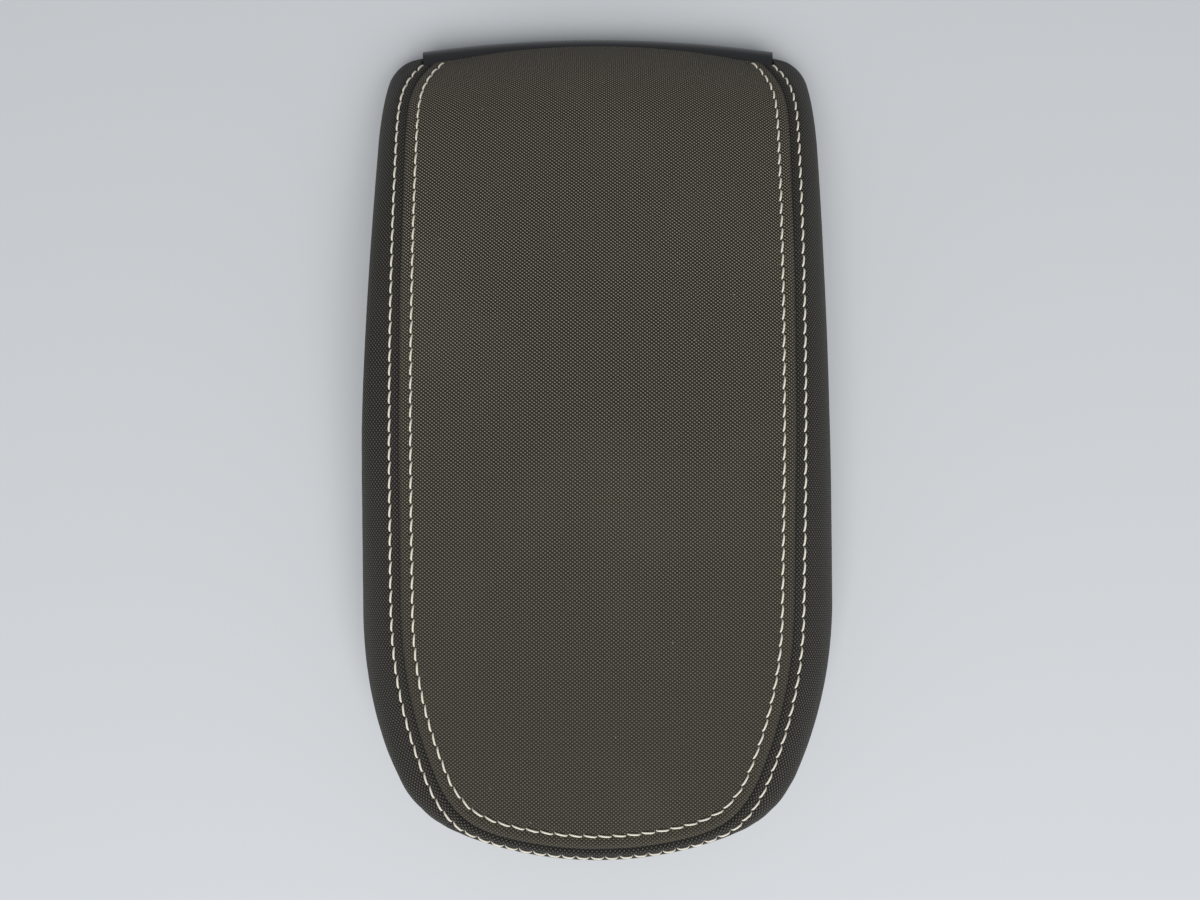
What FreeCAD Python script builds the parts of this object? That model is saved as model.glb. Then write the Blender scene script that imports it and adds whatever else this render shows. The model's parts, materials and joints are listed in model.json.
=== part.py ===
import FreeCAD, Part
import math
import os
from FreeCAD import Placement, Rotation, Vector

# Centre console armrest lid: a sewn cloth pad on a moulded carrier, closed below by a moulded
# cover, hinged at the rear on a bolted steel bracket and held shut at the front by a sprung latch.
# X runs across, Y from the rounded front to the hinge, Z up. Z = 0 is the top of the console rim.

doc = FreeCAD.newDocument("armrest")
sheet = doc.addObject("Spreadsheet::Sheet", "sizes")

# Driving dimensions in millimetres and degrees
DRIVING = {
    # padded form
    "pad_half_width": 89, "side_taper": 0.8, "pad_front": 159.35, "pad_rear": 159.35,
    "nose_radius": 150, "nose_angle": 20,
    "shoulder_radius": 140, "shoulder_turn": 28,
    "rear_corner_radius": 23, "wall_draft": 3, "hem_height": 10, "crown_height": 56, "roll_end": 4,
    "crown_radius": 500, "cross_radius": 400, "cross_tilt": 30, "front_slope": 4.5, "rear_slope": 12.1,
    "roll_radius": 84, "roll_slope": 60,
    # rounding of the top edge at the nose, the front of the sides and the rear
    "edge_nose": 6.5, "edge_side": 22, "edge_rear": 12, "edge_least": 4.5,
    "edge_start": 3, "edge_rise": 61.6, "edge_carrier": 7,
    # layers
    "cloth_thick": 2.5, "foam_thick": 6, "shell_thick": 2.5, "layer_gap": 0.3,
    # seam and stitches
    "seam_inset_front": 6.6, "seam_inset_side": 18.5, "seam_nose_radius": 150, "seam_nose_angle": 15,
    "seam_shoulder_radius": 150, "seam_shoulder_turn": 25, "seam_taper": 0.8,
    "seam_turn_radius": 48, "seam_turn": 28, "seam_turn_inset": 38, "seam_gap": 0.4,
    "row_inside": 4.6, "row_outside": 3.3, "stitch_pitch": 5.1, "stitch_length": 4.3,
    "stitch_width": 0.9, "stitch_slant": 7,
    # lower cover
    "tray_inset": 2, "tray_bottom": 4, "tray_plate": 2.6, "tray_rim": 4,
    # hinge
    "hinge_inset": 14, "hinge_z": 9.5, "trim_radius": 9, "trim_wall": 2.4, "trim_half": 70,
    "trim_from": -40, "trim_to": 125, "trim_gap": 0.5, "trim_bow": 5,
    "tab_x": 26, "tab_width": 12, "tab_reach": 10, "tab_short": 3, "tab_room": 1,
    "pin_radius": 3, "pin_inset": 9, "pin_head": 2, "ring_radius": 5.2, "ring_thick": 1, "ear_thick": 3,
    "lid_ear_inset": 14.5, "ear_spacing": 6, "base_eye": 5.5, "lid_eye": 6.2, "bush_wall": 1.2,
    "base_side": 6.5, "base_reach": 56, "base_depth": 42, "base_thick": 3,
    "arm_foot": 22, "arm_slope": 6, "arm_step": 2, "arm_high": 4.9,
    "bolt_x": 35, "bolt_reach": 50, "bolt_spacing": 26, "bolt_hole": 3.3,
    "leaf_reach": 56, "leaf_depth": 34, "leaf_z": 18, "leaf_thick": 2.5, "leaf_screw_x": 40,
    "leaf_screw_edge": 8, "leaf_screw_spacing": 16, "ear_foot": 20, "ear_taper": 4, "slot_reach": 20,
    # latch
    "pivot_inset": 37, "pivot_z": 16, "pivot_radius": 2, "pivot_half": 36, "lever_half": 26,
    "lever_hub": 5, "paddle_inset": 18, "paddle_z": 6.5, "paddle_thick": 3, "paddle_flat": 14,
    "hook_half": 9, "hook_low": 2.5, "hook_stem": 3, "hook_barb": 5, "hook_lip": 1,
    "spring_inset": 24, "spring_radius": 4, "spring_wire": 0.8, "spring_top": 20, "spring_turns": 4,
    "lug_x": 33, "lug_thick": 5, "lug_half": 6, "lug_over": 5,
    "latch_room": 3, "paddle_room": 1.5, "hook_room": 14, "hinge_room": 1.5, "hinge_step": 12,
    # fasteners and bumpers
    "screw_radius": 1.75, "screw_head": 4, "screw_head_high": 2, "boss_radius": 4.5, "boss_wall": 1.5,
    "screw_inset": 22, "screw_front": 70, "screw_middle": 10, "screw_rear": 76, "tab_screw_edge": 5,
    "cover_screw_long": 14, "leaf_screw_long": 8, "trim_screw_long": 7,
    "bumper_side": 31, "bumper_inset": 45, "bumper_radius": 7, "bumper_stem": 2.9, "stem_over": 3,
    # clearances: screw in its boss, pressed, running, seated and loose
    "bite_room": 0.1, "press_room": 0.02, "run_room": 0.06, "seat_room": 0.1, "loose_room": 0.25,
}
# Places that follow from them
FOLLOWING = {
    "hinge_y": "=pad_rear - hinge_inset", "base_front": "=hinge_y - base_reach",
    "leaf_front": "=hinge_y - leaf_reach", "leaf_rear": "=leaf_front + leaf_depth",
    "bolt_front": "=hinge_y - bolt_reach", "bolt_rear": "=bolt_front + bolt_spacing",
    "tray_rear": "=hinge_y - tab_room", "seam_front": "=pad_front - seam_inset_front",
    "pivot_y": "=pad_front - pivot_inset", "paddle_front": "=pad_front - paddle_inset",
    "spring_y": "=pad_front - spring_inset", "bumper_y": "=pad_front - bumper_inset",
    "bumper_x": "=pad_half_width - bumper_side", "pin_half": "=trim_half - pin_inset",
    "lid_ear_x": "=trim_half - lid_ear_inset", "base_ear_x": "=lid_ear_x - ear_spacing",
    "base_half_width": "=base_ear_x + base_side",
}
CELLS = {**DRIVING, **FOLLOWING}
for row, (name, value) in enumerate(CELLS.items(), 1):
    sheet.set(f"A{row}", name)
    sheet.set(f"B{row}", str(value))
    sheet.setAlias(f"B{row}", name)
doc.recompute()


def size(name):
    """One driving dimension, read back from the sheet."""
    return float(sheet.get(name))


def bind(thing, **sizes):
    """Tie properties of a document object to sheet expressions."""
    for prop, formula in sizes.items():
        for name in CELLS:
            formula = formula.replace(f"<{name}>", f"sizes.{name}")
        thing.setExpression(prop.replace("__", "."), formula)
    return thing


def add(kind, name, **values):
    thing = doc.addObject(kind, name)
    for prop, value in values.items():
        setattr(thing, prop, value)
    return thing


def box(name, x, y, z, long, wide, high):
    """A box from its low corner and its three sizes, all sheet expressions."""
    part = add("Part::Box", name)
    bind(part, Length=long, Width=wide, Height=high)
    return bind(part, Placement__Base__x=x, Placement__Base__y=y, Placement__Base__z=z)


def rod(name, axis, x, y, z, radius, high):
    """A cylinder along X, Y or Z from the middle of its low end."""
    part = add("Part::Cylinder", name)
    part.Placement = Placement(Vector(), Rotation(Vector(0, 0, 1), axis))
    bind(part, Radius=radius, Height=high)
    return bind(part, Placement__Base__x=x, Placement__Base__y=y, Placement__Base__z=z)


def fuse(name, parts):
    return add("Part::MultiFuse", name, Shapes=parts)


def common(name, base, tool):
    return add("Part::Common", name, Base=base, Tool=tool)


def cut(name, base, tools):
    """The base less one tool, or less several tools joined first."""
    if isinstance(tools, list):
        tools = fuse(f"{name}_tools", tools)
    return add("Part::Cut", name, Base=base, Tool=tools)


ALONG_X = Vector(1, 0, 0)
ALONG_Z = Vector(0, 0, 1)
SIDES = {"left": -1, "right": 1}
DEEP = -60.0            # forms start this low, so that their edges end below the finished pieces
TOP = 75.0              # and are cut by the crown below this height
SWEEP = 60.0            # the crown is swept this far about its axis, more than the pad is wide
OVERRUN = 1.3           # and its profile runs on past the front by this factor
UPWARD = 0.3            # faces whose normal points up more than this belong to the top
BENDS = 12              # straight lengths of spring wire in each turn
WIRE_SIDES = 8          # sides of the spring wire
RIGHT_CORNERS = 1       # the swept wire meets at mitred corners


# Plan curves, drawn as a walk of arcs and lines from the middle of the front to the rear
def walk(start, steps):
    """Half a plan curve: each step is an arc (radius, turn in degrees) or a line (length, None)."""
    spot = Vector(*start)
    heading = 0.0
    pieces = []
    for length, turn in steps:
        if turn is None:
            end = spot + Vector(math.cos(heading), math.sin(heading), 0) * length
            pieces.append([spot, end])
        else:
            centre = spot + Vector(-math.sin(heading), math.cos(heading), 0) * length
            half = heading + math.radians(turn) / 2
            heading += math.radians(turn)
            middle = centre + Vector(math.sin(half), -math.cos(half), 0) * length
            end = centre + Vector(math.sin(heading), -math.cos(heading), 0) * length
            pieces.append([spot, middle, end])
        spot = end
    return pieces


def mirrored(points):
    """The same points at the other side of the middle, in the opposite order."""
    return [Vector(-point.x, point.y, point.z) for point in reversed(points)]


def sketch_curve(points):
    """A line through two points or an arc through three."""
    if len(points) == 2:
        return Part.LineSegment(*points)
    arc = Part.Arc(*points).toShape()
    return Part.ArcOfCircle(arc.Curve, *arc.ParameterRange)


def loop(name, start, steps):
    """A sketch of a walked half, its mirror image and the line that closes them at the rear."""
    half = walk(start, steps)
    rear = half[-1][-1]
    other = [mirrored(points) for points in reversed(half)]
    sketch = add("Sketcher::SketchObject", name)
    curves = half + [[rear, Vector(-rear.x, rear.y, 0)]] + other
    sketch.addGeometry([sketch_curve(points) for points in curves], False)
    return sketch


def rounded_front(name, half_width, lean):
    """Steps of a plan curve from the nose to its side line, with the room that they take along Y."""
    nose, shoulder = size(f"{name}nose_radius"), size(f"{name}shoulder_radius")
    first = math.radians(size(f"{name}nose_angle"))
    last = math.radians(90 - lean)
    middle = last - math.radians(size(f"{name}shoulder_turn"))
    rest = half_width - nose * math.sin(first) - shoulder * (math.sin(last) - math.sin(middle))
    corner = rest / (math.sin(middle) - math.sin(first))
    reach = nose * (1 - math.cos(first)) + corner * (math.cos(first) - math.cos(middle))
    reach += shoulder * (math.cos(middle) - math.cos(last))
    steps = [
        (nose, math.degrees(first)),
        (corner, math.degrees(middle - first)),
        (shoulder, math.degrees(last - middle)),
    ]
    return steps, reach


def pad_outline():
    """The hem of the pad in plan, drawn on the deep plane."""
    taper, corner = size("side_taper"), size("rear_corner_radius")
    lean = math.radians(taper)
    steps, reach = rounded_front("", size("pad_half_width"), -taper)
    side = (size("pad_front") + size("pad_rear") - reach - corner * (1 - math.sin(lean))) / math.cos(lean)
    steps += [(side, None), (corner, 90 - taper)]
    sketch = loop("pad_outline", (0, -size("pad_front"), 0), steps)
    sketch.Placement.Base.z = DEEP
    return sketch


def seam_outline():
    """The line of the seam in plan, running on past the rear of the pad."""
    half = size("pad_half_width") - size("seam_inset_side")
    steps, reach = rounded_front("seam_", half, size("seam_taper"))
    side = size("seam_front") + size("pad_rear") - size("seam_turn_inset") - reach
    steps += [
        (side / math.cos(math.radians(size("seam_taper"))), None),
        (size("seam_turn_radius"), size("seam_turn")),
        (size("seam_turn_radius"), None),
    ]
    return loop("seam_outline", (0, -size("seam_front"), 0), steps)


def side_profile():
    """The pad from the side: a rising front, a long crown and the roll-off to the rear."""
    rise, fall, steep = (math.radians(size(n)) for n in ("front_slope", "rear_slope", "roll_slope"))
    long, short = size("crown_radius"), size("roll_radius")
    beyond = size("pad_front") * OVERRUN
    low = 2 * DEEP
    rear = size("pad_rear") + size("roll_end")
    crown_y = rear - short * (math.sin(steep) - math.sin(fall)) - long * math.sin(fall)
    hub = Vector(crown_y, size("crown_height") - long, 0)
    start = hub + Vector(-math.sin(rise), math.cos(rise), 0) * long
    join = hub + Vector(math.sin(fall), math.cos(fall), 0) * long
    hub_rear = join - Vector(math.sin(fall), math.cos(fall), 0) * short
    end = hub_rear + Vector(math.sin(steep), math.cos(steep), 0) * short
    front = Vector(-beyond, start.y - (start.x + beyond) * math.tan(rise), 0)
    foot = Vector(end.x + (end.y - low) / math.tan(steep), low, 0)
    heel = Vector(-beyond, low, 0)
    quarter = math.pi / 2
    crown = Part.ArcOfCircle(Part.Circle(hub, ALONG_Z, long), quarter - fall, quarter + rise)
    roll = Part.ArcOfCircle(Part.Circle(hub_rear, ALONG_Z, short), quarter - steep, quarter - fall)
    ends = [(front, start), (end, foot), (foot, heel), (heel, front)]
    sketch = add("Sketcher::SketchObject", "side_profile")
    sketch.addGeometry([crown, roll] + [Part.LineSegment(*pair) for pair in ends], False)
    sketch.Placement = Placement(Vector(), Rotation(Vector(0, 1, 0), Vector(0, 0, 1), Vector(1, 0, 0)))
    return sketch


outline = pad_outline()
seam = seam_outline()
profile = side_profile()


# Padded forms: one rounded body for each layer, from the cloth inwards
def offset(name, source, formula):
    return bind(add("Part::Offset2D", name, Source=source), Value=formula)


def upright(name, plan):
    """A plan curve raised along Z; its height is set by the caller."""
    return add("Part::Extrusion", name, Base=plan, DirMode="Custom", Dir=ALONG_Z, Solid=True)


def edge_radius(point, inset):
    """Rounding of the top edge at a point of the rim: small at the nose, large along the sides."""
    nose_reach = size("nose_radius") * (1 - math.cos(math.radians(size("nose_angle"))))
    nose_end = nose_reach - size("pad_front")
    side_start = nose_end + size("edge_rise")
    side_end = size("pad_rear") - size("rear_corner_radius")
    if point.y < side_start:
        share = max(0.0, (point.y - nose_end - size("edge_start")) / size("edge_rise"))
        radius = size("edge_nose") + (size("edge_side") - size("edge_nose")) * share
    else:
        share = min(1.0, (point.y - side_start) / (side_end - side_start))
        radius = size("edge_side") + (size("edge_rear") - size("edge_side")) * share
    return max(size("edge_least"), radius - inset)


def even_radius(point, inset):
    """The carrier and the inside of the foam have one rounding all along."""
    return size("edge_carrier")


def rim_edges(shape, inset, radius):
    """Edges between the crowned top and the walls, each with the radius at its two ends."""
    upward = []
    for face in shape.Faces:
        u0, u1, v0, v1 = face.ParameterRange
        upward.append(face.normalAt((u0 + u1) / 2, (v0 + v1) / 2).z > UPWARD)
    rims = []
    for number, edge in enumerate(shape.Edges, 1):
        beside = [any(edge.isSame(other) for other in face.Edges) for face in shape.Faces]
        kinds = [up for up, near in zip(upward, beside) if near]
        if sorted(kinds) == [False, True] and edge.BoundBox.ZMax > DEEP + 1:
            ends = [radius(vertex.Point, inset) for vertex in edge.Vertexes]
            rims.append((number, ends[0], ends[-1]))
    return rims


def pad_form(name, inset, radius):
    """The whole pad shape set in from the cloth surface by a sheet expression."""
    flare = f"(<hem_height> - ({DEEP})) * tan(<wall_draft> * 1 deg)"
    plan = offset(f"{name}_plan", outline, f"{flare} - ({inset})")
    side = profile
    if inset != "0":
        side = offset(f"{name}_side", profile, f"-({inset})")
    prism = upright(f"{name}_prism", plan)
    prism.LengthFwd = TOP - DEEP
    bind(prism, TaperAngle="-<wall_draft>")
    tilt = math.radians(size("cross_tilt"))
    axis = Vector(0, math.cos(tilt), -math.sin(tilt))
    crown = add("Part::Revolution", f"{name}_crown", Source=side, Axis=axis, Symmetric=True, Solid=True)
    crown.Angle = SWEEP
    bind(crown, Base__z="<crown_height> - <cross_radius>")
    block = common(f"{name}_block", prism, crown)
    doc.recompute()
    depth = size("crown_height") - crown.Source.Shape.BoundBox.ZMax
    rounded = add("Part::Fillet", name, Base=block)
    rounded.Edges = rim_edges(block.Shape, depth, radius)
    doc.recompute()
    return rounded


CLOTH = "<cloth_thick>"
FOAM_OUT = "<cloth_thick> + <layer_gap>"
FOAM_IN = "<cloth_thick> + <layer_gap> + <foam_thick>"
SHELL_OUT = "<cloth_thick> + 2 * <layer_gap> + <foam_thick>"
SHELL_IN = "<cloth_thick> + 2 * <layer_gap> + <foam_thick> + <shell_thick>"

cloth_out = pad_form("cloth_out", "0", edge_radius)
cloth_in = pad_form("cloth_in", CLOTH, edge_radius)
foam_out = pad_form("foam_out", FOAM_OUT, edge_radius)
foam_in = pad_form("foam_in", FOAM_IN, even_radius)
shell_out = pad_form("shell_out", SHELL_OUT, even_radius)
shell_in = pad_form("shell_in", SHELL_IN, even_radius)


# Space for the hinge under the rear of the pad, bowed to the rear like the edge of the cloth
def bowed_tube(name, radius, half):
    """A tube on an arc that meets the hinge line at the ends of the trim and stands behind it midway."""
    bow = "((<trim_half>^2 + <trim_bow>^2) / (2 * <trim_bow>))"
    tube = add("Part::Torus", name)
    bind(tube, Radius1=bow, Radius2=radius, Angle3=f"2 * asin(({half}) / {bow})")
    doc.recompute()
    tube.Placement = Placement(Vector(), Rotation(ALONG_Z, 90 - tube.Angle3.Value / 2))
    middle = f"<hinge_y> + <trim_bow> - {bow}"
    return bind(tube, Placement__Base__y=middle, Placement__Base__z="<hinge_z>")


def tunnel(name):
    """Room for the trim, and slots from it into the lid for the eyed plates and the trim's tabs."""
    bowed = bowed_tube(f"{name}_bowed", "<trim_radius> + <trim_gap>", "<trim_half> + <trim_gap>")
    straight = rod(f"{name}_straight", ALONG_X, "-<trim_half> + <trim_wall>", "<hinge_y>", "<hinge_z>",
                   "<lid_eye> + 2 * <trim_gap>", "2 * <trim_half> - 2 * <trim_wall>")
    room = [bowed, straight]
    for side, sign in SIDES.items():
        middle = f"{sign} * (<base_ear_x> + <lid_ear_x>) / 2"
        width = "(<lid_ear_x> - <base_ear_x> + 2 * <ear_thick>)"
        room.append(box(f"{name}_slot_{side}", f"{middle} - {width} / 2",
                        "<leaf_rear> - <slot_reach>", "<hem_height> - <tab_room>",
                        width, "<hinge_y> - <leaf_rear> + <slot_reach>",
                        "<leaf_z> - <hem_height> + <tab_room>"))
        width = "(<tab_width> + 2 * <tab_room>)"
        room.append(box(f"{name}_tab_slot_{side}", f"{sign} * <tab_x> - {width} / 2",
                        "<leaf_rear> - <tab_reach> - <tab_room>", "<hem_height> - <tab_room>",
                        width, "<hinge_y> - <leaf_rear> + <tab_reach>",
                        "<leaf_z> - <hem_height> + <tab_room> + <layer_gap>"))
    return fuse(name, room)


def above_hem(name):
    """All the space above the hem."""
    wide = "4 * <pad_half_width>"
    return box(name, "-2 * <pad_half_width>", "-2 * <pad_front>", "<hem_height>",
               wide, "4 * <pad_front>", "<crown_height>")


def layer(name, outer, inner):
    """One layer of the pad between two forms, open below and cut away for the hinge."""
    shell = cut(f"{name}_shell", outer, inner)
    trimmed = common(f"{name}_trimmed", shell, above_hem(f"{name}_above"))
    return cut(f"{name}_layer", trimmed, tunnel(f"{name}_tunnel"))


# Sewn cover: centre panel and side band, with the stitch rows on both sides of the seam
def seam_prism(name, formula):
    plan = offset(f"{name}_plan", seam, formula)
    prism = upright(name, plan)
    prism.LengthFwd = TOP
    return prism


cloth = layer("cloth", cloth_out, cloth_in)
cover_centre_panel = common("cover_centre_panel", cloth, seam_prism("panel_side", "-<seam_gap> / 2"))
cover_side_band = cut("cover_side_band", cloth, seam_prism("band_side", "<seam_gap> / 2"))


def row_line(name, formula):
    """A stitch row laid down on the cloth from its plan curve."""
    plan = offset(f"{name}_plan", seam, formula)
    doc.recompute()
    lines = [edge for edge in plan.Shape.Edges if edge.BoundBox.YMin < size("hinge_y")]
    high = [edge.translated(Vector(0, 0, TOP)) for edge in Part.__sortEdges__(lines)]
    spots = []
    reach = size("trim_radius") + size("cloth_thick") + size("stitch_width")
    for edge in high:
        count = max(3, int(edge.Length / size("stitch_pitch")))
        for point in edge.discretize(count):
            drop = Part.makeLine(point, Vector(point.x, point.y, DEEP))
            hits = [vertex.Point for vertex in cloth_out.Shape.common(drop).Vertexes]
            if not hits:
                continue
            spot = max(hits, key=lambda hit: hit.z)
            if spot.y < size("hinge_y") or spot.z > size("hinge_z") + reach:
                if not spots or (spot - spots[-1]).Length > size("layer_gap"):
                    spots.append(spot)
    return Part.makePolygon(spots)


def stitch_row(name, formula):
    """Separate slanting stitches along a row, each a small bar half sunk in the cloth."""
    line = row_line(name + "_line", formula)
    count = int(line.Length / size("stitch_pitch"))
    spots = line.discretize(count + 1)
    wide, long = size("stitch_width"), size("stitch_length")
    bars = []
    for first, last in zip(spots, spots[1:]):
        ahead = (last - first).normalize()
        middle = (first + last) * 0.5
        across = ahead.cross(ALONG_Z).normalize()
        lift = across.cross(ahead)
        slant = math.radians(size("stitch_slant"))
        along = ahead * math.cos(slant) + across * math.sin(slant)
        bar = Part.makeBox(long, wide, wide, Vector(-long / 2, -wide / 2, -wide / 2))
        bar.Placement = Placement(middle, Rotation(along, Vector(), lift, "XZY"))
        bars.append(bar)
    row = add("Part::Feature", name)
    row.Shape = Part.makeCompound(bars)
    return row


inner_stitch_row = stitch_row("inner_stitch_row", "-<row_inside>")
outer_stitch_row = stitch_row("outer_stitch_row", "<row_outside>")

# Foam
foam_pad = layer("foam_pad", foam_out, foam_in)

# Carrier: moulded shell with screw bosses inside
COVER_SCREW_ROWS = ["-<screw_front>", "<screw_middle>", "<screw_rear>"]
COVER_SCREWS = [("<pad_half_width> - <screw_inset>", row) for row in COVER_SCREW_ROWS]
LEAF_SCREWS = [
    ("<leaf_screw_x>", "<leaf_front> + <leaf_screw_edge>"),
    ("<leaf_screw_x>", "<leaf_front> + <leaf_screw_edge> + <leaf_screw_spacing>"),
]
TRIM_SCREWS = [("<tab_x>", "<leaf_rear> - <tab_screw_edge>")]


def both_sides(spots):
    return [(f"{sign} * ({x})", y) for sign in SIDES.values() for x, y in spots]


def posts(name, spots, low, radius, high):
    """Upright cylinders at both sides of the middle."""
    return [rod(f"{name}_{n}", ALONG_Z, x, y, low, radius, high)
            for n, (x, y) in enumerate(both_sides(spots), 1)]


def upper_carrier():
    shell = layer("carrier", shell_out, shell_in)
    bosses = posts("cover_boss", COVER_SCREWS, "<hem_height>", "<boss_radius>", "<crown_height>")
    leaf_top = "<leaf_z> + <leaf_thick>"
    bosses += posts("leaf_boss", LEAF_SCREWS, leaf_top, "<boss_radius>", "<crown_height>")
    bosses.append(rod("spring_boss", ALONG_Z, "0", "-<spring_y>", "<spring_top>",
                      "<spring_radius> + <boss_wall>", "<crown_height>"))
    inside = common("bosses_inside", fuse("bosses", bosses), shell_out)
    bore = "<screw_radius> + <bite_room>"
    holes = posts("cover_screw_hole", COVER_SCREWS, "<hem_height>", bore, "<cover_screw_long>")
    holes += posts("leaf_screw_hole", LEAF_SCREWS, leaf_top, bore, "<leaf_screw_long>")
    return cut("upper_carrier", fuse("carrier_body", [shell, inside]), holes)


carrier = upper_carrier()


# Lower cover: shallow tray with a rim, latch lugs, and openings for the latch and the hinge
def plan_block(name, inset, low, high):
    """A straight block with the pad's plan, set in by a sheet expression."""
    plan = offset(f"{name}_plan", outline, f"-({inset})")
    block = upright(name, plan)
    bind(block, LengthFwd=f"({high}) - ({low})")
    return bind(block, Placement__Base__z=f"({low}) - ({DEEP})")


PLATE_LOW = "<hem_height> - <tray_plate>"
BUMPERS = [("<bumper_x>", "-<bumper_y>")]


def lower_cover():
    block = plan_block("tray_block", "<tray_inset>", "<tray_bottom>", "<hem_height>")
    dish = plan_block("tray_dish", "<tray_inset> + <tray_rim>", "0", PLATE_LOW)
    lugs = []
    for side, sign in SIDES.items():
        lugs.append(box(f"latch_lug_{side}", f"{sign} * <lug_x> - <lug_thick> / 2",
                        "-<pivot_y> - <lug_half>", "<hem_height>",
                        "<lug_thick>", "2 * <lug_half>", "<pivot_z> - <hem_height> + <lug_over>"))
    latch_half = "(<lever_half> + <latch_room>)"
    latch_front = "(-<paddle_front> - <paddle_room>)"
    through = "2 * <hem_height>"
    tools = [
        box("latch_opening", f"-{latch_half}", latch_front, "0",
            f"2 * {latch_half}", "<paddle_front> - <pivot_y> + <hook_room>", through),
        box("finger_notch", f"-{latch_half}", "-2 * <pad_front>", "0",
            f"2 * {latch_half}", f"2 * <pad_front> + {latch_front}", PLATE_LOW),
        box("hinge_opening", "-<trim_half> - <hinge_room>", "<base_front> + <hinge_step>", "0",
            "2 * <trim_half> + 2 * <hinge_room>", "<pad_rear> - <base_front>", through),
        box("rear_cut", "-2 * <pad_half_width>", "<tray_rear>", "0",
            "4 * <pad_half_width>", "<pad_rear>", through),
        rod("pivot_hole", ALONG_X, "-<pad_half_width>", "-<pivot_y>", "<pivot_z>",
            "<pivot_radius> + <press_room>", "2 * <pad_half_width>"),
    ]
    tools += posts("cover_hole", COVER_SCREWS, "0", "<screw_radius> + <loose_room>", through)
    tools += posts("bumper_hole", BUMPERS, "0", "<bumper_stem> + <seat_room>", through)
    tray = cut("tray", block, dish)
    return cut("lower_cover", fuse("tray_with_lugs", [tray] + lugs), tools)


tray_cover = lower_cover()


# Fasteners: a domed head below and a shank above
def screws(name, spots, seat, length):
    heads = posts(f"{name}_head", spots, f"{seat} - <screw_head_high>", "<screw_head>", "<screw_head_high>")
    shanks = posts(f"{name}_shank", spots, seat, "<screw_radius>", length)
    singles = [fuse(f"{name}_{n}", list(pair)) for n, pair in enumerate(zip(heads, shanks), 1)]
    return add("Part::Compound", name, Links=singles)


cover_screws = screws("cover_screws", COVER_SCREWS, PLATE_LOW, "<cover_screw_long>")
leaf_screws = screws("leaf_screws", LEAF_SCREWS, "<leaf_z>", "<leaf_screw_long>")
trim_screws = screws("trim_screws", TRIM_SCREWS, "<leaf_z> - <leaf_thick>", "<trim_screw_long>")


def bumper(side, sign):
    """A rubber foot under the cover with a stem pushed through it."""
    x, y = f"{sign} * <bumper_x>", "-<bumper_y>"
    foot = rod(f"bumper_foot_{side}", ALONG_Z, x, y, "0", "<bumper_radius>", PLATE_LOW)
    stem = rod(f"bumper_stem_{side}", ALONG_Z, x, y, PLATE_LOW, "<bumper_stem>", "<tray_plate> + <stem_over>")
    return fuse(f"bumper_{side}", [foot, stem])


bumpers = [bumper(side, sign) for side, sign in SIDES.items()]


# Hinge: bracket bolted to the console, leaf screwed to the carrier, pin, bushes and retaining ring
def plate(name, points, x, thick):
    """A flat plate in the YZ plane from its corners, centred on a given x."""
    body = add("PartDesign::Body", f"{name}_body")
    sketch = body.newObject("Sketcher::SketchObject", f"{name}_sketch")
    plane = [item for item in body.Origin.OriginFeatures if item.Role == "YZ_Plane"][0]
    sketch.AttachmentSupport = [(plane, "")]
    sketch.MapMode = "FlatFace"
    corners = [Vector(y, z, 0) for y, z in points]
    for first, last in zip(corners, corners[1:] + corners[:1]):
        sketch.addGeometry(Part.LineSegment(first, last), False)
    pad = body.newObject("PartDesign::Pad", f"{name}_pad")
    pad.Profile = sketch
    pad.Midplane = True
    bind(pad, Length=thick)
    return bind(body, Placement__Base__x=x)


def ears(name, points, x, eye):
    """A pair of eyed plates, one at each side."""
    made = []
    for side, sign in SIDES.items():
        arm = plate(f"{name}_{side}", points, f"{sign} * {x}", "<ear_thick>")
        ring = rod(f"{name}_eye_{side}", ALONG_X, f"{sign} * {x} - <ear_thick> / 2",
                   "<hinge_y>", "<hinge_z>", eye, "<ear_thick>")
        made += [arm, ring]
    return made


BOLTS = [("<bolt_x>", "<bolt_front>"), ("<bolt_x>", "<bolt_rear>")]


def hinge_base():
    axis_y, axis_z = size("hinge_y"), size("hinge_z")
    flange_end = size("base_front") + size("base_depth")
    middle = size("base_thick") / 2
    low, high = axis_z - size("pin_radius"), axis_z + size("arm_high")
    points = [
        (flange_end - size("arm_foot"), middle), (flange_end, middle), (flange_end + size("arm_step"), low),
        (axis_y, low), (axis_y, high), (flange_end - size("arm_slope"), high),
    ]
    flange = box("base_flange", "-<base_half_width>", "<base_front>", "0",
                 "2 * <base_half_width>", "<base_depth>", "<base_thick>")
    body = fuse("base_body", [flange] + ears("base_ear", points, "<base_ear_x>", "<base_eye>"))
    tools = posts("bolt_bore", BOLTS, "-<base_thick>", "<bolt_hole>", "3 * <base_thick>")
    tools.append(rod("base_pin_bore", ALONG_X, "-<pad_half_width>", "<hinge_y>", "<hinge_z>",
                     "<pin_radius> + <press_room>", "2 * <pad_half_width>"))
    return cut("hinge_base", body, tools)


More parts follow.
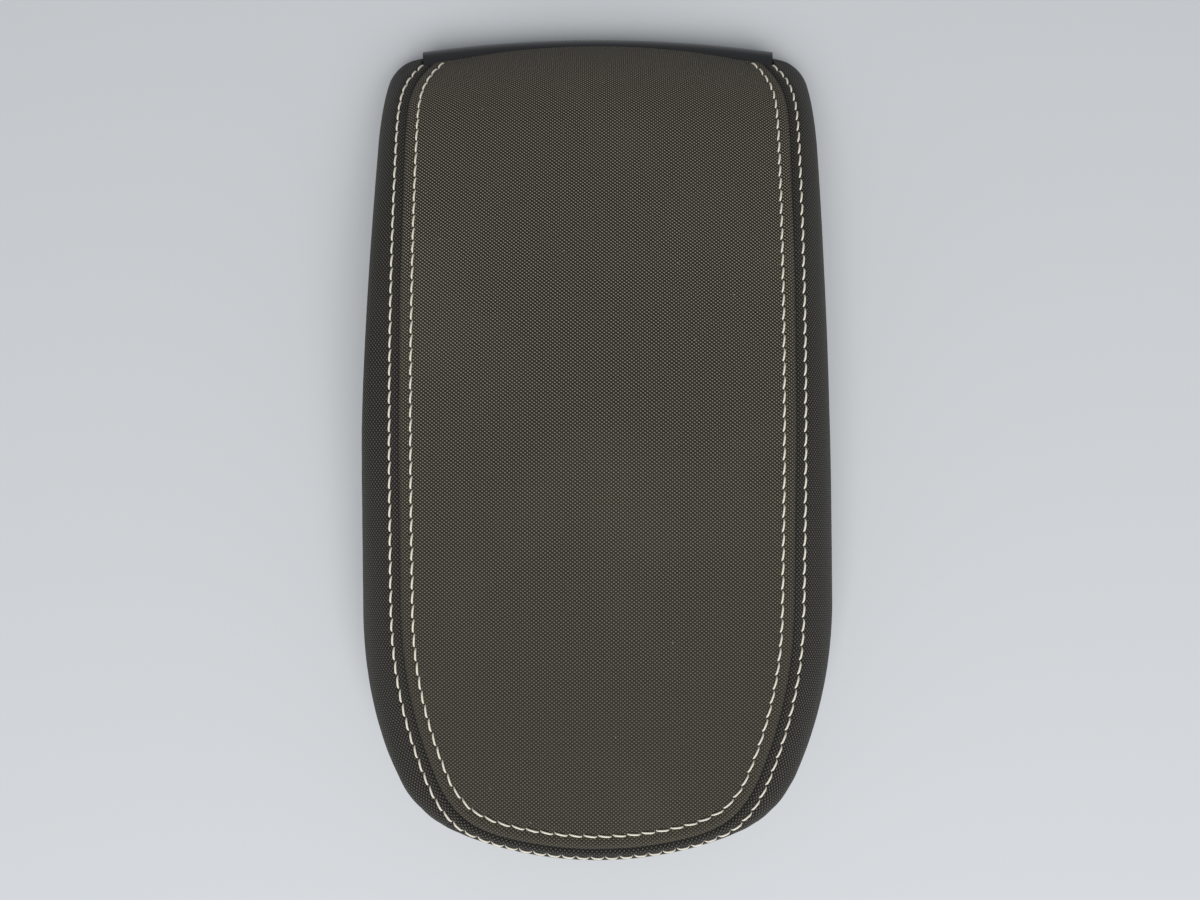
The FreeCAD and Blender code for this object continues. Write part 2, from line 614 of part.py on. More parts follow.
def hinge_leaf():
    axis_y, axis_z = size("hinge_y"), size("hinge_z")
    leaf_end = size("leaf_front") + size("leaf_depth")
    low, middle = size("leaf_z"), size("leaf_z") + size("leaf_thick") / 2
    foot, taper = leaf_end - size("ear_foot"), size("ear_taper")
    side = size("lid_eye") * math.sqrt(0.5)
    points = [
        (foot, middle), (foot + taper, low - taper), (axis_y - side, axis_z - side), (axis_y, axis_z),
        (axis_y - side, axis_z + side), (leaf_end, middle),
    ]
    flat = box("leaf_flat", "-<lid_ear_x> - <ear_thick> / 2", "<leaf_front>", "<leaf_z>",
               "2 * <lid_ear_x> + <ear_thick>", "<leaf_depth>", "<leaf_thick>")
    body = fuse("leaf_body", [flat] + ears("leaf_ear", points, "<lid_ear_x>", "<lid_eye>"))
    tools = posts("leaf_hole", LEAF_SCREWS + TRIM_SCREWS, "<leaf_z> - <leaf_thick>",
                  "<screw_radius> + <loose_room>", "3 * <leaf_thick>")
    tools.append(rod("leaf_bush_bore", ALONG_X, "-<pad_half_width>", "<hinge_y>", "<hinge_z>",
                     "<pin_radius> + <bush_wall> + <seat_room>", "2 * <pad_half_width>"))
    return cut("hinge_leaf", body, tools)


def bush(side, sign):
    """A flanged nylon bush in an ear of the leaf, its flange against the bracket."""
    inner = "<base_ear_x> + <ear_thick> / 2 + <seat_room>"
    outer = "<lid_ear_x> + <ear_thick> / 2"
    collar_end = "<lid_ear_x> - <ear_thick> / 2"
    low = inner if sign > 0 else f"-({outer})"
    collar_low = inner if sign > 0 else f"-({collar_end})"
    sleeve = rod(f"bush_sleeve_{side}", ALONG_X, low, "<hinge_y>", "<hinge_z>",
                 "<pin_radius> + <bush_wall>", f"({outer}) - ({inner})")
    collar = rod(f"bush_collar_{side}", ALONG_X, collar_low, "<hinge_y>", "<hinge_z>",
                 "<lid_eye> - <trim_gap>", f"({collar_end}) - ({inner})")
    bore = rod(f"bush_bore_{side}", ALONG_X, "-<pad_half_width>", "<hinge_y>", "<hinge_z>",
               "<pin_radius> + <run_room>", "2 * <pad_half_width>")
    return cut(f"hinge_bush_{side}", fuse(f"bush_{side}", [sleeve, collar]), bore)


def hinge_pin():
    stem = rod("pin_stem", ALONG_X, "-<pin_half>", "<hinge_y>", "<hinge_z>", "<pin_radius>", "2 * <pin_half>")
    head = rod("pin_head_disc", ALONG_X, "-<pin_half> - <pin_head>", "<hinge_y>", "<hinge_z>",
               "<ring_radius>", "<pin_head>")
    return fuse("hinge_pin", [stem, head])


def retaining_ring():
    start = "<pin_half> - 2 * <ring_thick>"
    ring = rod("ring_disc", ALONG_X, start, "<hinge_y>", "<hinge_z>", "<ring_radius>", "<ring_thick>")
    hole = rod("ring_hole", ALONG_X, "0", "<hinge_y>", "<hinge_z>",
               "<pin_radius> + <press_room>", "2 * <pin_half>")
    return cut("retaining_ring", ring, hole)


def rear_trim():
    """Rounded hinge cover turning with the lid: part of a bowed tube, closed at its ends, with tabs."""
    outer = bowed_tube("trim_tube", "<trim_radius>", "<trim_half>")
    inner = "<trim_radius> - <trim_wall>"
    hollow = bowed_tube("trim_hollow", inner, "<trim_half> - <trim_wall>")
    clear = rod("trim_clear", ALONG_X, "-<trim_half> + <trim_wall>", "<hinge_y>", "<hinge_z>",
                "<lid_eye> + 2 * <trim_gap>", "2 * <trim_half> - 2 * <trim_wall>")
    tube = cut("trim_shell", outer, [hollow, clear])
    sector = add("Part::Cylinder", "trim_sector")
    bind(sector, Radius="2 * <trim_radius>", Height="4 * <trim_half>", Angle="<trim_to> - <trim_from>")
    upright_x = Rotation(Vector(0, 1, 0), Vector(0, 0, 1), Vector(1, 0, 0))
    sector.Placement = Placement(Vector(), Rotation(ALONG_X, size("trim_from")) * upright_x)
    bind(sector, Placement__Base__x="-2 * <trim_half>", Placement__Base__y="<hinge_y>",
         Placement__Base__z="<hinge_z>")
    pieces = [common("trim_arc", tube, sector)]
    for side, sign in SIDES.items():
        pieces.append(box(f"trim_tab_{side}", f"{sign} * <tab_x> - <tab_width> / 2",
                          "<leaf_rear> - <tab_reach>", "<leaf_z> - <leaf_thick>",
                          "<tab_width>", "<hinge_y> - <leaf_rear> + <tab_reach> - <tab_short>", "<leaf_thick>"))
    holes = posts("trim_hole", TRIM_SCREWS, "<leaf_z> - 2 * <leaf_thick>",
                  "<screw_radius> + <loose_room>", "3 * <leaf_thick>")
    return cut("rear_trim", fuse("trim_with_tabs", pieces), holes)


bracket = hinge_base()
leaf = hinge_leaf()
bushes = [bush(side, sign) for side, sign in SIDES.items()]
pin = hinge_pin()
ring = retaining_ring()
trim = rear_trim()


# Latch: lever with paddle and hook on a cross pin, pushed down by a coil spring
def release_lever():
    axis_y, axis_z = -size("pivot_y"), size("pivot_z")
    low, thick = size("paddle_z"), size("paddle_thick")
    front, knee = -size("paddle_front"), size("paddle_flat") - size("paddle_front")
    hub = size("lever_hub")
    arm = [
        (front, low), (knee, low), (axis_y, axis_z - hub), (axis_y, axis_z + hub),
        (knee - thick, low + thick), (front, low + thick),
    ]
    tip, stem = size("hook_low"), size("hook_stem")
    barb, lip = axis_y + stem + size("hook_barb"), tip + stem + size("hook_lip")
    hook = [
        (axis_y - stem, axis_z), (axis_y - stem, tip + stem / 2), (axis_y - stem / 2, tip),
        (axis_y + stem, tip), (barb, tip + stem), (barb, lip), (axis_y + stem, lip), (axis_y + stem, axis_z),
    ]
    paddle = plate("lever_arm", arm, "0", "2 * <lever_half>")
    catch = plate("lever_hook", hook, "0", "2 * <hook_half>")
    barrel = rod("lever_barrel", ALONG_X, "-<lever_half>", "-<pivot_y>", "<pivot_z>",
                 "<lever_hub>", "2 * <lever_half>")
    bore = rod("lever_bore", ALONG_X, "-<pad_half_width>", "-<pivot_y>", "<pivot_z>",
               "<pivot_radius> + <run_room>", "2 * <pad_half_width>")
    return cut("release_lever", fuse("lever_body", [paddle, catch, barrel]), bore)


def ring_of_points(radius, count):
    """Corners of an even polygon about the origin in the XY plane, the first one repeated at the end."""
    turns = [2 * math.pi * n / count for n in range(count + 1)]
    return [Vector(radius * math.cos(turn), radius * math.sin(turn), 0) for turn in turns]


def latch_spring():
    """Coil between the paddle and the carrier's boss, its wire bent in short straight lengths."""
    low = size("paddle_z") + size("paddle_thick")
    wire = size("spring_wire")
    gap = wire / 2 + size("seat_room")
    high = size("spring_top") - low - 2 * gap
    corners = ring_of_points(size("spring_radius") - wire / 2, BENDS)[:-1]
    steps = int(size("spring_turns")) * BENDS
    spots = [corners[n % BENDS] + Vector(0, 0, high * n / steps) for n in range(steps + 1)]
    section = Part.makePolygon(ring_of_points(wire / 2, WIRE_SIDES))
    section.Placement = Placement(spots[0], Rotation(ALONG_Z, spots[1] - spots[0]))
    spring = add("Part::Feature", "latch_spring")
    spring.Shape = Part.makePolygon(spots).makePipeShell([section], True, False, RIGHT_CORNERS)
    spring.Placement = Placement(Vector(0, -size("spring_y"), low + gap), Rotation())
    return spring


lever = release_lever()
spring = latch_spring()
latch_pin = rod("latch_pin", ALONG_X, "-<pivot_half>", "-<pivot_y>", "<pivot_z>",
                "<pivot_radius>", "2 * <pivot_half>")
doc.recompute()

# Finished pieces, one file each
PIECES = {
    "cover_centre_panel": cover_centre_panel, "cover_side_band": cover_side_band,
    "inner_stitch_row": inner_stitch_row, "outer_stitch_row": outer_stitch_row,
    "foam_pad": foam_pad, "upper_carrier": carrier, "lower_cover": tray_cover, "rear_trim": trim,
    "cover_screws": cover_screws, "leaf_screws": leaf_screws, "trim_screws": trim_screws,
    "bumper_left": bumpers[0], "bumper_right": bumpers[1],
    "hinge_base": bracket, "hinge_leaf": leaf, "hinge_pin": pin, "retaining_ring": ring,
    "hinge_bush_left": bushes[0], "hinge_bush_right": bushes[1],
    "release_lever": lever, "latch_spring": spring, "latch_pin": latch_pin,
}
for thing in doc.Objects:
    if "Invalid" in thing.State or "Error" in thing.State:
        raise RuntimeError(f"{thing.Name} did not build: {thing.State}")
os.makedirs("parts", exist_ok=True)
for label, piece in PIECES.items():
    piece.Label = label
    shape = piece.Shape
    if shape.isNull() or not shape.isValid() or not shape.Solids:
        raise RuntimeError(f"{label} is not a sound solid")
    shape.exportStep(f"parts/{label}.step")
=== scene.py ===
import bmesh
import bpy
import json
import math
import numpy as np
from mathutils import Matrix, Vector
from mathutils.bvhtree import BVHTree
from mathutils.kdtree import KDTree


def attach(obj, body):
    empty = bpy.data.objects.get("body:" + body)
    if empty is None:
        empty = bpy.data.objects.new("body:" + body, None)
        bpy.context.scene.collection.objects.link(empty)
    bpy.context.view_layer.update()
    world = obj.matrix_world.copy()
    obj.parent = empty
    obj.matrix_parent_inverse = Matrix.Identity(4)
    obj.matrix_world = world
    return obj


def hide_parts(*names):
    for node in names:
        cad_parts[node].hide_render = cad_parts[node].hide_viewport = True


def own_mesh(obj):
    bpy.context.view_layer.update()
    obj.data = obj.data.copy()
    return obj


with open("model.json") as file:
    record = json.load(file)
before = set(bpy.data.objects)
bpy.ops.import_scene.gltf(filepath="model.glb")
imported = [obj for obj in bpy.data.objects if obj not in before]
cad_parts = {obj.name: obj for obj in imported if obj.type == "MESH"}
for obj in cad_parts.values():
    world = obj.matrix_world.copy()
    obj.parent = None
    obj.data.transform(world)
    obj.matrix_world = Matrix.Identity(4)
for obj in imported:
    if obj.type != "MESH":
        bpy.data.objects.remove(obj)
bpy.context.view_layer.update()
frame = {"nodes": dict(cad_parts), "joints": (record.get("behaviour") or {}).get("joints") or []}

NODES = frame["nodes"]
JOINTS = {joint["name"]: joint for joint in frame["joints"]}
HINGE = Vector(JOINTS["lid_hinge"]["pos_m"])
STITCH_ROWS = ("inner_stitch_row", "outer_stitch_row")

# Sizes of the sewn cover in metres
MM = 0.001
HEM = 10.0 * MM                 # lower edge of the cloth
CLOTH_THICK = 1.8 * MM
ROW_INSIDE = 4.6 * MM           # stitch rows on both sides of the seam
ROW_OUTSIDE = 3.3 * MM
SEAM_RUN_OUT = 14.0 * MM        # the seam goes on this far past the last stitches
RUN_OUT_POINTS = 8
STITCH_HALF = 2.35 * MM         # half the length of a stitch between its needle holes
MORE_STITCHES = 4               # stitches added to each end of a row, as far as there is room
ROW_TURN = 0.10                 # inward turn of the rows from one added stitch to the next
ROW_CLEAR = 0.3 * MM            # middles of added stitches stay this far from the trim's room
THREAD = 0.38 * MM              # radius of the thread
THREAD_RISE = 0.34 * MM         # height of its middle line over the cloth
THREAD_DIVE = 0.85 * MM         # and how far that sinks at the needle holes
THREAD_TAPER = 0.3              # share of its radius that the thread loses there
RINGS = 9
SIDES = 8
YARN_ALONG = 0.64 * MM          # width of a crossing yarn and length of its float in the weave
YARN_ACROSS = 0.80 * MM

# Relief of the sewn cloth: heights, depths and widths
ALLOWANCE = 0.45 * MM           # the folded seam allowance lifts the cloth
ALLOWANCE_REACH = 6.5 * MM
ALLOWANCE_FADE = 0.9 * MM
GROOVE_DEPTH = 1.0 * MM         # the seam itself
GROOVE_WIDTH = 0.9 * MM
BED_DEPTH = 0.3 * MM            # the bed under the thread
BED_WIDTH = 1.0 * MM
BED_MARKS = (-0.8, -0.4, 0.0, 0.4, 0.8)
HOLE_DEPTH = 0.4 * MM           # the needle holes and the pucker round them
HOLE_WIDTH = 0.8 * MM
PUCKER_DEPTH = 0.12 * MM
PUCKER_WIDTH = 2.4 * MM

# Room of the hinge trim, which the cloth keeps out of
TRIM_HALF = 70.0 * MM
TRIM_BOW = 5.0 * MM
TRIM_END_GAP = 1.3 * MM         # the cloth stays this far from the trim's ends
TUNNEL = 9.6 * MM               # and this far from its middle line
FAN_Y = HINGE.y - 31.0 * MM     # the rear roll-off is measured from a line inside the pad
FAN_Z = HEM + 8.0 * MM

# Spacing of the cover's meshes
STEP = 0.85 * MM                # along the seam
SAME_POINT = 0.001 * MM
SLIVER = 0.02 * MM              # points of a cloth grid that are closer than this are joined
WAY_SMOOTH = 31                 # stations over which the seam's direction is averaged
TIP_STATIONS = 30               # the first row of the panel's middle follows the edge strip this far
PANEL_COLUMNS = 2 * TIP_STATIONS + 1
PANEL_EDGE = np.array([0, 0.4, 0.8, 1.3, 2, 2.8, 3.7, 4.6, 5.5, 6.5, 8, 10, 12]) * MM
STRAIGHT_FROM = 20.0 * MM       # from here to the rear the strip is measured straight across
BAND_EDGE = np.array([0, 0.4, 0.8, 1.3, 2, 2.7, 3.3, 3.9, 4.7, 5.7, 7, 9, 11.5, 14.5, 18]) * MM
BAND_REST = 14                  # steps from there to the hem
BAND_SECTION = 40               # points of a section before they are spaced
BAND_CORE = 25.0 * MM           # sections are cast from a line this far inside the seam
BAND_CORE_HIGH = 6.0 * MM       # and this far above the hem
HEM_CLEAR = 0.3 * MM
HALVINGS = 12                   # steps of the search for the edge of the trim's room
BESIDE = ((-1, 0), (1, 0), (0, -1), (0, 1))
CORNERWISE = ((-1, -1), (-1, 1), (1, -1), (1, 1))


# Pad form, read from the frame
def outer_form():
    """The pad's closed outer form: the hull of the cover's two pieces."""
    form = bmesh.new()
    for name in ("cover_centre_panel", "cover_side_band"):
        node = NODES[name]
        for vertex in node.data.vertices:
            form.verts.new(node.matrix_world @ vertex.co)
    bmesh.ops.convex_hull(form, input=form.verts)
    return BVHTree.FromBMesh(form)


FORM = outer_form()


def cast(start, toward):
    """Where a line from inside the pad leaves its outer form."""
    toward = Vector(toward).normalized()
    hit = FORM.ray_cast(Vector(start), toward)
    if hit[0] is None:
        hit = FORM.find_nearest(Vector(start))
    return hit[0]


def nearest(point):
    """The point of the outer form that is nearest to a point."""
    return np.array(FORM.find_nearest(Vector(point))[0])


def in_trim_room(points, margin):
    """Whether points lie in the room of the bowed hinge trim, or nearer to it than a margin."""
    points = np.asarray(points)
    bowed = HINGE.y + TRIM_BOW * (1 - (points[..., 0] / TRIM_HALF) ** 2)
    away = np.hypot(points[..., 1] - bowed, points[..., 2] - HINGE.z)
    return (away < TUNNEL + margin) & (np.abs(points[..., 0]) < TRIM_HALF + TRIM_END_GAP)


# Stitches and seam, read from the frame
def stitch_bars(name):
    """Middle and direction of each stitch of a row, in order from the rear left round the front."""
    node = NODES[name]
    mesh = bmesh.new()
    mesh.from_mesh(node.data)
    mesh.transform(node.matrix_world)
    bmesh.ops.remove_doubles(mesh, verts=mesh.verts, dist=SAME_POINT)
    left = set(mesh.verts)
    bars = []
    while left:
        group, edge_of_group = set(), [left.pop()]
        while edge_of_group:
            vertex = edge_of_group.pop()
            group.add(vertex)
            near = {edge.other_vert(vertex) for edge in vertex.link_edges} & left
            left -= near
            edge_of_group += near
        points = np.array([vertex.co[:] for vertex in group])
        middle = points.mean(axis=0)
        along = np.linalg.svd(points - middle)[2][0]
        bars.append((middle, along))
    bars.sort(key=lambda bar: math.atan2(bar[0][0], -bar[0][1]))
    ordered = []
    for number, (middle, along) in enumerate(bars):
        ahead = bars[min(number + 1, len(bars) - 1)][0] - bars[max(number - 1, 0)][0]
        ordered.append((middle, along if along @ ahead > 0 else -along))
    return ordered


def carried_on(bars):
    """A row with a few more stitches over the rear roll-off, as far as the trim."""
    middles = [middle for middle, along in bars]
    pitch = np.linalg.norm(middles[1] - middles[0])
    left, right = [], []
    for more, row, sense in ((left, middles, -1), (right, middles[::-1], 1)):
        last, ahead = row[0], row[0] - row[1]
        for count in range(MORE_STITCHES):
            inward = np.array([math.copysign(ROW_TURN, last[0]), 0, 0])
            ahead = ahead / np.linalg.norm(ahead) - inward
            before = last
            last = nearest(last + ahead * pitch)
            ahead = last - before
            if in_trim_room(last, ROW_CLEAR):
                break
            more.append((last, sense * ahead / np.linalg.norm(ahead)))
    return left[::-1] + bars + right


BARS = {name: carried_on(stitch_bars(name)) for name in STITCH_ROWS}


def evenly(points, spacing):
    """A line of points spaced evenly, an odd number of them."""
    points = np.asarray(points)
    steps = np.linalg.norm(np.diff(points, axis=0), axis=1)
    along = np.concatenate([[0], np.cumsum(steps)])
    marks = np.linspace(0, along[-1], int(along[-1] / spacing) // 2 * 2 + 1)
    return np.stack([np.interp(marks, along, points[:, n]) for n in range(3)], axis=1)


def near_tree(points):
    """A tree that finds the nearest of some points."""
    tree = KDTree(len(points))
    for number, point in enumerate(points):
        tree.insert(Vector(point), number)
    tree.balance()
    return tree


def run_out(points, reach):
    """A line continued over the form at both of its ends."""
    ends = []
    for last, before in ((points[0], points[2]), (points[-1], points[-3])):
        ahead = (last - before) / np.linalg.norm(last - before)
        shares = [count / RUN_OUT_POINTS for count in range(1, RUN_OUT_POINTS + 1)]
        ends.append([nearest(last + ahead * reach * share) for share in shares])
    return np.concatenate([ends[0][::-1], points, ends[1]])


def seam_line():
    """The join between centre panel and side band, lying between the two stitch rows."""
    inner = evenly([middle for middle, along in BARS["inner_stitch_row"]], STEP)
    tree = near_tree(inner)
    share = ROW_OUTSIDE / (ROW_OUTSIDE + ROW_INSIDE)
    points = []
    for middle, along in BARS["outer_stitch_row"]:
        other = np.array(tree.find(Vector(middle))[0])
        points.append(nearest(middle + (other - middle) * share))
    return evenly(run_out(np.array(points), SEAM_RUN_OUT), STEP)


def stitch_points(shares):
    """Points along every stitch, at shares of half its length from its middle."""
    stitches = [stitch for row in BARS.values() for stitch in row]
    return [middle + along * STITCH_HALF * share for middle, along in stitches for share in shares]


SEAM = seam_line()
SEAM_TREE = near_tree(SEAM)
HOLE_TREE = near_tree(stitch_points((-1, 1)))
ROW_TREE = near_tree(stitch_points(BED_MARKS))


# Relief of the sewn cloth
def bell(distance, width):
    return math.exp(-(distance / width) ** 2)


def thread_bed(point):
    """Height of the cloth over the plain form, without the dents at the needle holes."""
    seam = SEAM_TREE.find(Vector(point))[2]
    row = ROW_TREE.find(Vector(point))[2]
    allowance = ALLOWANCE / (1 + math.exp((seam - ALLOWANCE_REACH) / ALLOWANCE_FADE))
    return allowance - GROOVE_DEPTH * bell(seam, GROOVE_WIDTH) - BED_DEPTH * bell(row, BED_WIDTH)


def relief(point):
    """Height of the cloth over the plain form at a point."""
    hole = HOLE_TREE.find(Vector(point))[2]
    dent = HOLE_DEPTH * bell(hole, HOLE_WIDTH) + PUCKER_DEPTH * bell(hole, PUCKER_WIDTH)
    return thread_bed(point) - dent


def laid(point):
    """A point of the plain form moved to the cloth's surface."""
    place, normal = FORM.find_nearest(Vector(point))[:2]
    return np.array(place + normal * relief(place))


def laid_grid(grid):
    """A grid of points of the plain form moved to the cloth's surface."""
    return np.array([[laid(point) for point in row] for row in grid])


# Cover pieces as fine grids
def plain_mesh(name, points, faces, layer_name, lengths):
    """A smooth mesh object with a UV map."""
    mesh = bpy.data.meshes.new(name)
    mesh.from_pydata(points, [], faces)
    layer = mesh.uv_layers.new(name=layer_name)
    for loop in mesh.loops:
        layer.data[loop.index].uv = lengths[loop.vertex_index]
    mesh.polygons.foreach_set("use_smooth", [True] * len(mesh.polygons))
    piece = bpy.data.objects.new(name, mesh)
    bpy.context.collection.objects.link(piece)
    return piece


def edge_of_room(near, far):
    """Where a line from outside the trim's room meets it."""
    for count in range(HALVINGS):
        middle = (near + far) / 2
        if in_trim_room(middle, 0.0):
            far = middle
        else:
            near = middle
    return near


def clear_of_trim(grid):
    """Draws points in the room of the hinge trim back to its edge; tells which were outside it."""
    inside = in_trim_room(grid, 0.0)
    rows, columns = inside.shape
    moved = grid.copy()
    for row, column in np.argwhere(inside):
        for ways in (BESIDE, CORNERWISE):
            others = [(row + down, column + along) for down, along in ways]
            others = [(r, c) for r, c in others if 0 <= r < rows and 0 <= c < columns]
            free = [other for other in others if not inside[other]]
            if free:
                meets = [edge_of_room(grid[other], grid[row, column]) for other in free]
                moved[row, column] = np.mean(meets, axis=0)
                break
    grid[:] = moved
    return ~inside.reshape(-1)


def grid_mesh(name, layers):
    """A mesh of one or more grids of points that meet, with lengths on the cloth as its UV map."""
    points, lengths, faces = [], [], []
    for grid, sheet in layers:
        rows, columns = grid.shape[:2]
        keep = clear_of_trim(grid)
        first = len(points)
        points += grid.reshape(-1, 3).tolist()
        lengths += sheet.reshape(-1, 2).tolist()
        for row in range(rows - 1):
            for column in range(columns - 1):
                corner = row * columns + column
                face = [corner, corner + 1, corner + columns + 1, corner + columns]
                if keep[face].any():
                    faces.append([first + number for number in face])
    piece = plain_mesh(name, points, faces, "cloth", lengths)
    joined = bmesh.new()
    joined.from_mesh(piece.data)
    loose = [vertex for vertex in joined.verts if not vertex.link_faces]
    bmesh.ops.delete(joined, geom=loose, context="VERTS")
    bmesh.ops.remove_doubles(joined, verts=joined.verts, dist=SLIVER)
    bmesh.ops.recalc_face_normals(joined, faces=joined.faces)
    if sum(face.normal.z * face.calc_area() for face in joined.faces) < 0:
        bmesh.ops.reverse_faces(joined, faces=joined.faces)
    joined.to_mesh(piece.data)
    return piece


def outward_ways():
    """Level direction from the pad's middle to the outside at each point of the seam."""
    ahead = np.gradient(SEAM[:, :2], axis=0)
    side = WAY_SMOOTH // 2
    padded = np.pad(ahead, ((side, side), (0, 0)), mode="edge")
    mean = np.ones(WAY_SMOOTH) / WAY_SMOOTH
    ahead = np.stack([np.convolve(padded[:, n], mean, "valid") for n in range(2)], axis=1)
    ahead /= np.linalg.norm(ahead, axis=1)[:, None]
    return np.stack([ahead[:, 1], -ahead[:, 0]], axis=1)


def upon(x, y, z):
    """The form's point over a place; over the rear roll-off the lines fan out from inside the pad."""
    turn = math.atan2(y - FAN_Y, z - FAN_Z) if y > FAN_Y else 0.0
    return np.array(cast((x, min(y, FAN_Y), FAN_Z), (0, math.sin(turn), math.cos(turn))))


def on_sheet(grid):
    """Lengths across and along the panel's cloth, measured over the rear roll-off."""
    behind, above = np.maximum(grid[..., 1] - FAN_Y, 0), grid[..., 2] - FAN_Z
    rolled = np.arctan2(behind, above) * np.hypot(behind, above)
    return np.stack([grid[..., 0], np.minimum(grid[..., 1], FAN_Y) + rolled], axis=-1)


def edge_strip():
    """Lines of points from the seam inwards, one at each station of the seam."""
    strip = []
    for station, way in zip(SEAM, outward_ways()):
        if station[1] > STRAIGHT_FROM:
            way = np.array([math.copysign(1, way[0]), 0])
        places = [station[:2] - way * offset for offset in PANEL_EDGE]
        fan = station[1] > FAN_Y
        line = [upon(x, station[1] if fan else y, station[2]) for x, y in places]
        line[0] = station
        strip.append(line)
    return np.array(strip)


def panel_rows(edge):
    """Rows across the pad from one side of the strip's inner edge to the other, front to rear."""
    tip = len(edge) // 2
    rows = [edge[tip - TIP_STATIONS:tip + TIP_STATIONS + 1]]
    for count in range(TIP_STATIONS + 1, tip + 1):
        left, right = edge[tip - count], edge[tip + count]
        side = (left + right) / 2
        across = np.linspace(left[0], right[0], PANEL_COLUMNS)
        row = np.array([upon(x, side[1], side[2]) for x in across])
        row[0], row[-1] = left, right
        rows.append(row)
    return np.array(rows)


def centre_panel():
    """A strip along the inside of the seam, and rows across the pad between its two sides."""
    strip = edge_strip()
    grids = (strip, panel_rows(strip[:, -1]))
    return grid_mesh("cloth_centre_panel", [(laid_grid(grid), on_sheet(grid)) for grid in grids])


def side_band():
    """Sections from the seam over the rounded edge and down to the hem, all round the pad."""
    rows, lengths = [], []
    for number, (start, way) in enumerate(zip(SEAM, outward_ways())):
        outward = np.array([way[0], way[1], 0])
        foot = np.array(cast((start[0], start[1], HEM + HEM_CLEAR), outward))
        core = np.array([start[0], start[1], HEM + BAND_CORE_HIGH]) - outward * BAND_CORE
        path = [start]
        for count in range(1, BAND_SECTION + 1):
            path.append(cast(core, start + (foot - start) * count / BAND_SECTION - core))
        path = np.array(path)
        along = np.concatenate([[0], np.cumsum(np.linalg.norm(np.diff(path, axis=0), axis=1))])
        near = BAND_EDGE * min(1.0, along[-1] / (2 * BAND_EDGE[-1]))
        marks = np.concatenate([near, np.linspace(near[-1], along[-1], BAND_REST + 1)[1:]])
        rows.append(np.stack([np.interp(marks, along, path[:, n]) for n in range(3)], axis=1))
        lengths.append(np.stack([np.full(len(marks), number * STEP), marks], axis=1))
    return grid_mesh("cloth_side_band", [(laid_grid(np.array(rows)), np.array(lengths))])


def thicken(piece):
    """Gives a cloth grid its thickness, inwards from the seen surface."""
    solid = piece.modifiers.new("thickness", "SOLIDIFY")
    solid.thickness = CLOTH_THICK
    solid.offset = -1
    return piece


# Sewn stitches: thread that comes out of one hole and dives into the next
def thread_row(name, source):
    """One tube for each stitch of a row."""
    points, faces, lengths = [], [], []
    for middle, along in BARS[source]:
        place, normal = FORM.find_nearest(Vector(middle))[:2]
        place, normal = np.array(place), np.array(normal)
        along = along - normal * (along @ normal)
        along /= np.linalg.norm(along)
        across = np.cross(normal, along)
        base = thread_bed(place)
        first = len(points)
        for ring in range(RINGS):
            part = 2 * ring / (RINGS - 1) - 1
            lift = base + THREAD_RISE - THREAD_DIVE * part ** 4
            core = place + along * part * STITCH_HALF + normal * lift
            radius = THREAD * (1 - THREAD_TAPER * part ** 4)
            for side in range(SIDES):
                turn = 2 * math.pi * side / SIDES
                points.append(core + radius * (math.cos(turn) * across + math.sin(turn) * normal))
                lengths.append((part, side / SIDES))
        for ring in range(RINGS - 1):
            for side in range(SIDES):
                low = first + ring * SIDES
                after = (side + 1) % SIDES
                faces.append((low + side, low + after, low + SIDES + after, low + SIDES + side))
    return plain_mesh(name, [tuple(point) for point in points], faces, "thread", lengths)


# Materials
class Shader:
    """A material and short ways to add and join its nodes."""

    def __init__(self, name):
        self.material = bpy.data.materials.new(name)
        self.material.use_nodes = True
        self.tree = self.material.node_tree
        self.surface = self.tree.nodes["Principled BSDF"]

    def node(self, kind, inputs=None, **settings):
        made = self.tree.nodes.new(kind)
        for name, value in settings.items():
            setattr(made, name, value)
        for name, value in (inputs or {}).items():
            self.join(value, made.inputs[name])
        return made

    def join(self, value, socket):
        if isinstance(value, bpy.types.NodeSocket):
            self.tree.links.new(value, socket)
        else:
            socket.default_value = value

    def set(self, **values):
        """Constants of the surface, with underscores for the spaces in their names."""
        for name, value in values.items():
            self.surface.inputs[name.replace("_", " ")].default_value = value

    def base(self, tone):
        self.join(tone, self.surface.inputs["Base Color"])

    def math(self, operation, first, second=0.0, third=0.0):
        inputs = {0: first, 1: second, 2: third}
        return self.node("ShaderNodeMath", inputs, operation=operation).outputs[0]

    def mix(self, share, first, second):
        made = self.node("ShaderNodeMix", data_type="RGBA")
        self.join(share, made.inputs[0])
        self.join(first, made.inputs[6])
        self.join(second, made.inputs[7])
        return made.outputs[2]

    def noise(self, scale, detail=2.0, place=None):
        made = self.node("ShaderNodeTexNoise", {"Scale": scale, "Detail": detail})
        if place is None:
            place = self.node("ShaderNodeTexCoord").outputs["Object"]
        self.join(place, made.inputs["Vector"])
        return made.outputs["Fac"]

    def ramp(self, value, low, high):
        made = self.node("ShaderNodeMapRange", {"Value": value, "From Min": low, "From Max": high})
        return made.outputs["Result"]

    def lengths(self, layer_name):
        """Lengths on a cloth or thread, together and across and along."""
        both = self.node("ShaderNodeUVMap", uv_map=layer_name).outputs["UV"]
        parts = self.node("ShaderNodeSeparateXYZ", {0: both})
        return both, parts.outputs["X"], parts.outputs["Y"]

    def bump(self, height, distance, strength=1.0):
        inputs = {"Height": height, "Distance": distance, "Strength": strength}
        made = self.node("ShaderNodeBump", inputs)
        self.join(made.outputs["Normal"], self.surface.inputs["Normal"])


def colour(red, green, blue):
    return (red, green, blue, 1.0)


def shaded(tone, factor):
    """A tone made lighter or darker."""
    return colour(*[factor * part for part in tone[:3]])


